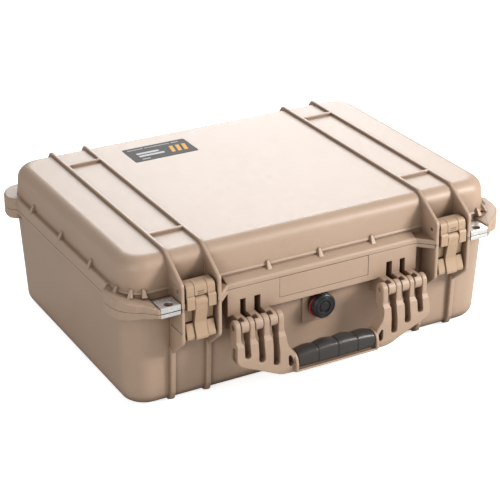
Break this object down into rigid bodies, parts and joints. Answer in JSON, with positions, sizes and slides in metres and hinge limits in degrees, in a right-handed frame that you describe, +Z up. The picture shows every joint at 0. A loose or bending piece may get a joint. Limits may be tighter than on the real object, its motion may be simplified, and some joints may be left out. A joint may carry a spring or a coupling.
{
  "type": "hard equipment case",
  "caption": "Hard-shell equipment case with hinged lid, two-throw toggle latches, folding carry handle, pressure valve and foam lining.",
  "frame": {"origin": "on the floor under the middle of the case body", "axes": "+Z up, -Y towards the front with the latches and handle, +X to the right seen from the front"},
  "size_m": [0.502, 0.4058, 0.1845],
  "materials": {
    "base_shell": "fine moulded grain",
    "lid_shell": "fine moulded grain",
    "handle_frame": "fine moulded grain",
    "latch": "fine moulded grain",
    "name_plate": "smooth satin",
    "handle_grip": "matte overmould",
    "rim_seal": "satin",
    "valve_o_ring": "satin",
    "valve_body": "satin",
    "valve_knob": "satin",
    "valve_nut": "satin",
    "foam": "open-cell foam",
    "steel_plate": "brushed",
    "steel_pin": "polished",
    "label": "printed film"
  },
  "bodies": {
    "base": {"base_shell": "base_shell", "name_plate": "name_plate", "foam_block": "foam", "floor_pad": "foam", "base_padlock_plate_left": "steel_plate", "base_padlock_plate_right": "steel_plate", "handle_pin_left": "steel_pin", "handle_pin_right": "steel_pin", "hinge_pin_left": "steel_pin", "hinge_pin_right": "steel_pin", "valve_body": "valve_body", "valve_o_ring": "valve_o_ring", "valve_nut": "valve_nut"},
    "lid": {"lid_shell": "lid_shell", "lid_foam": "foam", "rim_seal": "rim_seal", "label_plate": "label", "lid_padlock_plate_left": "steel_plate", "lid_padlock_plate_right": "steel_plate", "latch_pin_left": "steel_pin", "latch_pin_right": "steel_pin"},
    "latch_left": {"latch_clamp_left": "latch", "lever_pin_left": "steel_pin"},
    "lever_left": {"latch_lever_left": "latch"},
    "latch_right": {"latch_clamp_right": "latch", "lever_pin_right": "steel_pin"},
    "lever_right": {"latch_lever_right": "latch"},
    "handle": {"handle_frame": "handle_frame", "handle_grip": "handle_grip"},
    "valve": {"valve_knob": "valve_knob"}
  },
  "joints": [
    {"name": "lid_hinge", "type": "hinge", "parent": "base", "child": "lid", "pos_m": [0, 0.187, 0.13], "axis": [-1, 0, 0], "range_deg": [0, 105]},
    {"name": "latch_left_hinge", "type": "hinge", "parent": "lid", "child": "latch_left", "pos_m": [-0.1625, -0.187, 0.147], "axis": [-1, 0, 0], "range_deg": [0, 115]},
    {"name": "lever_left_hinge", "type": "hinge", "parent": "latch_left", "child": "lever_left", "pos_m": [-0.1625, -0.1902, 0.1335], "axis": [-1, 0, 0], "range_deg": [0, 40]},
    {"name": "latch_right_hinge", "type": "hinge", "parent": "lid", "child": "latch_right", "pos_m": [0.1625, -0.187, 0.147], "axis": [-1, 0, 0], "range_deg": [0, 115]},
    {"name": "lever_right_hinge", "type": "hinge", "parent": "latch_right", "child": "lever_right", "pos_m": [0.1625, -0.1902, 0.1335], "axis": [-1, 0, 0], "range_deg": [0, 40]},
    {"name": "handle_hinge", "type": "hinge", "parent": "base", "child": "handle", "pos_m": [0, -0.1944, 0.091], "axis": [-1, 0, 0], "range_deg": [0, 105]},
    {"name": "valve_turn", "type": "hinge", "parent": "base", "child": "valve", "pos_m": [0, -0.17, 0.08], "axis": [0, -1, 0], "range_deg": [0, 270]}
  ]
}
